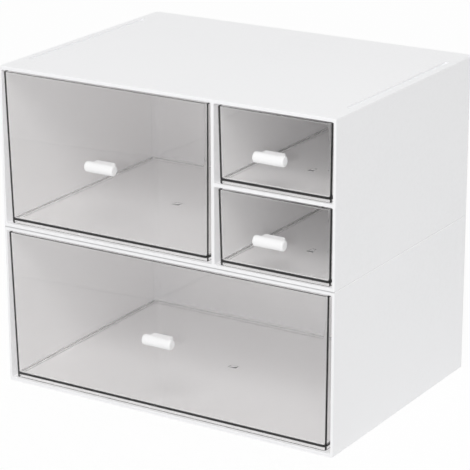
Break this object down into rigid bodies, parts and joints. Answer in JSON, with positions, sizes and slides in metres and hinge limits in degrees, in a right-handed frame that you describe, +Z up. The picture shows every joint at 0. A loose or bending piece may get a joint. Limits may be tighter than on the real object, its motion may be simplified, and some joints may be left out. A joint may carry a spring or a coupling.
{
  "type": "desktop mini drawers",
  "caption": "Stacked white desktop casings with smoke-clear pull-out trays: a wide drawer below, a large drawer and small drawers above, each with a white T-bar handle.",
  "frame": {"origin": "on the desk plane, under the middle of the whole object's box", "axes": "+X to the viewer's right when facing the drawers, the drawers open towards -Y, +Z up"},
  "size_m": [0.26, 0.2005, 0.2281],
  "materials": {
    "casing_white": "fine satin moulded",
    "tray_smoke": "smoke-clear polished",
    "handle_white": "glossy moulded",
    "screw_steel": "zinc plated"
  },
  "bodies": {
    "lower_casing": {"lower_casing": "casing_white"},
    "upper_casing": {"upper_casing": "casing_white"},
    "wide_drawer": {"wide_tray": "tray_smoke", "wide_handle": "handle_white", "wide_screw": "screw_steel"},
    "large_drawer": {"large_tray": "tray_smoke", "large_handle": "handle_white", "large_screw": "screw_steel"},
    "upper_small_drawer": {"upper_small_tray": "tray_smoke", "upper_small_handle": "handle_white", "upper_small_screw": "screw_steel"},
    "lower_small_drawer": {"lower_small_tray": "tray_smoke", "lower_small_handle": "handle_white", "lower_small_screw": "screw_steel"}
  },
  "joints": [
    {"name": "upper_casing_lift", "type": "slide", "parent": "lower_casing", "child": "upper_casing", "axis": [0, 0, 1], "range_m": [0, 0.06]},
    {"name": "wide_drawer_slide", "type": "slide", "parent": "lower_casing", "child": "wide_drawer", "axis": [0, -1, 0], "range_m": [-0.009, 0.15]},
    {"name": "large_drawer_slide", "type": "slide", "parent": "upper_casing", "child": "large_drawer", "axis": [0, -1, 0], "range_m": [-0.0085, 0.15]},
    {"name": "upper_small_drawer_slide", "type": "slide", "parent": "upper_casing", "child": "upper_small_drawer", "axis": [0, -1, 0], "range_m": [-0.0085, 0.15]},
    {"name": "lower_small_drawer_slide", "type": "slide", "parent": "upper_casing", "child": "lower_small_drawer", "axis": [0, -1, 0], "range_m": [-0.0085, 0.15]}
  ]
}
